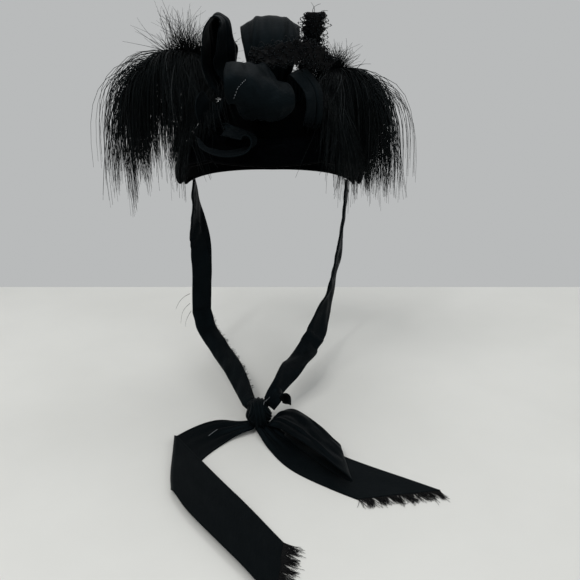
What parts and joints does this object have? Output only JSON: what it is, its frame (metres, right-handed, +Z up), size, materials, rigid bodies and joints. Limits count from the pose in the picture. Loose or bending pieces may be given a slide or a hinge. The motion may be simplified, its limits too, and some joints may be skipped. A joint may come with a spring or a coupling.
{
  "type": "mourning bonnet",
  "caption": "Small black mourning bonnet: domed crown with a velvet rolled band, ribbon bow, beaded lace, drooping ostrich plumes and long ribbon ties knotted below.",
  "frame": {"origin": "inside of the crown's top, where the bonnet sits on a head", "axes": "+Z up, the wearer faces -Y, +X to the right of someone who looks at the wearer's face"},
  "size_m": [0.2983, 0.4301, 0.3574],
  "materials": {
    "crown_cloth": "dull black cloth over a stiff frame",
    "velvet": "black silk velvet, rolled",
    "ribbed_silk": "black corded silk ribbon with a soft sheen",
    "ostrich": "black ostrich feather",
    "jet_beads": "net sewn with small glossy black beads"
  },
  "bodies": {
    "root": {"crown": "crown_cloth", "front_band": "velvet", "bow_centre_loop": "ribbed_silk", "bow_left_loop": "ribbed_silk", "bow_front_puff": "ribbed_silk", "bow_right_fold": "ribbed_silk", "bow_left_fold": "ribbed_silk", "bow_lower_loop": "ribbed_silk", "bead_crescent": "jet_beads", "bead_spray": "jet_beads", "plume_left": "ostrich", "plume_right": "ostrich", "tie_left": "ribbed_silk", "tie_right": "ribbed_silk", "knot": "ribbed_silk", "knot_ear": "ribbed_silk", "half_loop": "ribbed_silk", "tail_left": "ribbed_silk", "tail_right": "ribbed_silk", "fringe_left": "ribbed_silk", "fringe_right": "ribbed_silk"}
  },
  "joints": []
}
